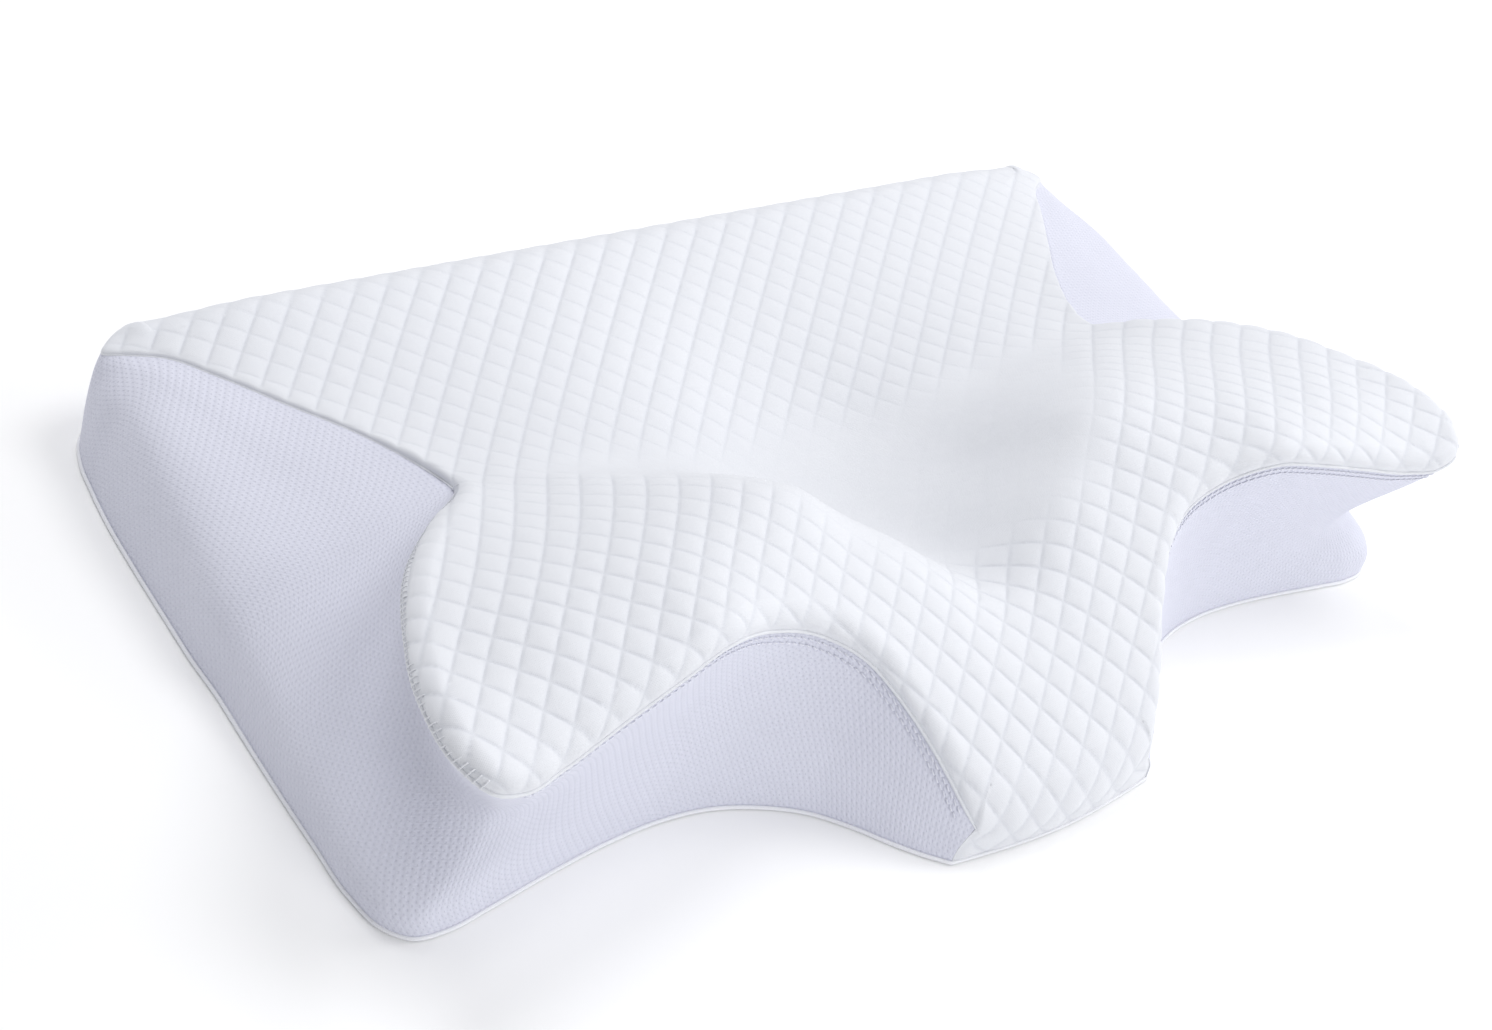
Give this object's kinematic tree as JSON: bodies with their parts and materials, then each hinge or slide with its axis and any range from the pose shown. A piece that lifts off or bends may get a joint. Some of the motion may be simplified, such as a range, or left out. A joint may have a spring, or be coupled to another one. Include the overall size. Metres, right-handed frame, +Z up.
{
  "type": "cervical contour pillow",
  "caption": "Butterfly-shaped orthopaedic neck pillow: moulded foam with head hollow, raised side wings, arm cut-outs and neck lip, in a quilted zip-off cover with mesh sides.",
  "frame": {"origin": "middle of the bounding box, on the floor the pillow lies on", "axes": "+X along the pillow's width, +Y toward the straight back edge, +Z up; the neck lip is at -Y"},
  "size_m": [0.64, 0.3846, 0.1148],
  "materials": {
    "memory_foam": "open-cell moulded foam skin",
    "liner_knit": "thin plain knit",
    "quilted_knit": "white knit quilted in diamonds",
    "mesh_knit": "pale lavender-white ribbed mesh knit",
    "base_knit": "plain knit",
    "zip_tape": "woven tape",
    "zip_coil": "nylon coil",
    "zip_metal": "satin die-cast metal"
  },
  "bodies": {
    "pillow": {"foam_core": "memory_foam", "liner_upper": "liner_knit", "liner_lower": "liner_knit", "cover_top_panel": "quilted_knit", "cover_gusset_left": "mesh_knit", "cover_gusset_right": "mesh_knit", "cover_base_panel": "base_knit", "zip_tape_upper": "zip_tape", "zip_tape_lower": "zip_tape", "zip_coil_upper": "zip_coil", "zip_coil_lower": "zip_coil", "zip_top_stop_upper": "zip_metal", "zip_top_stop_lower": "zip_metal", "zip_bottom_stop": "zip_metal"},
    "slider": {"zip_slider": "zip_metal"},
    "pull_tab": {"zip_pull_tab": "zip_metal"}
  },
  "joints": [
    {"name": "zip_run", "type": "slide", "parent": "pillow", "child": "slider", "axis": [1, 0, 0], "range_m": [-0.4925, 0]},
    {"name": "pull_tab_flip", "type": "hinge", "parent": "slider", "child": "pull_tab", "pos_m": [0.2474, 0.19029, 0.0166], "axis": [0, 0, -1], "range_deg": [0, 170]}
  ]
}
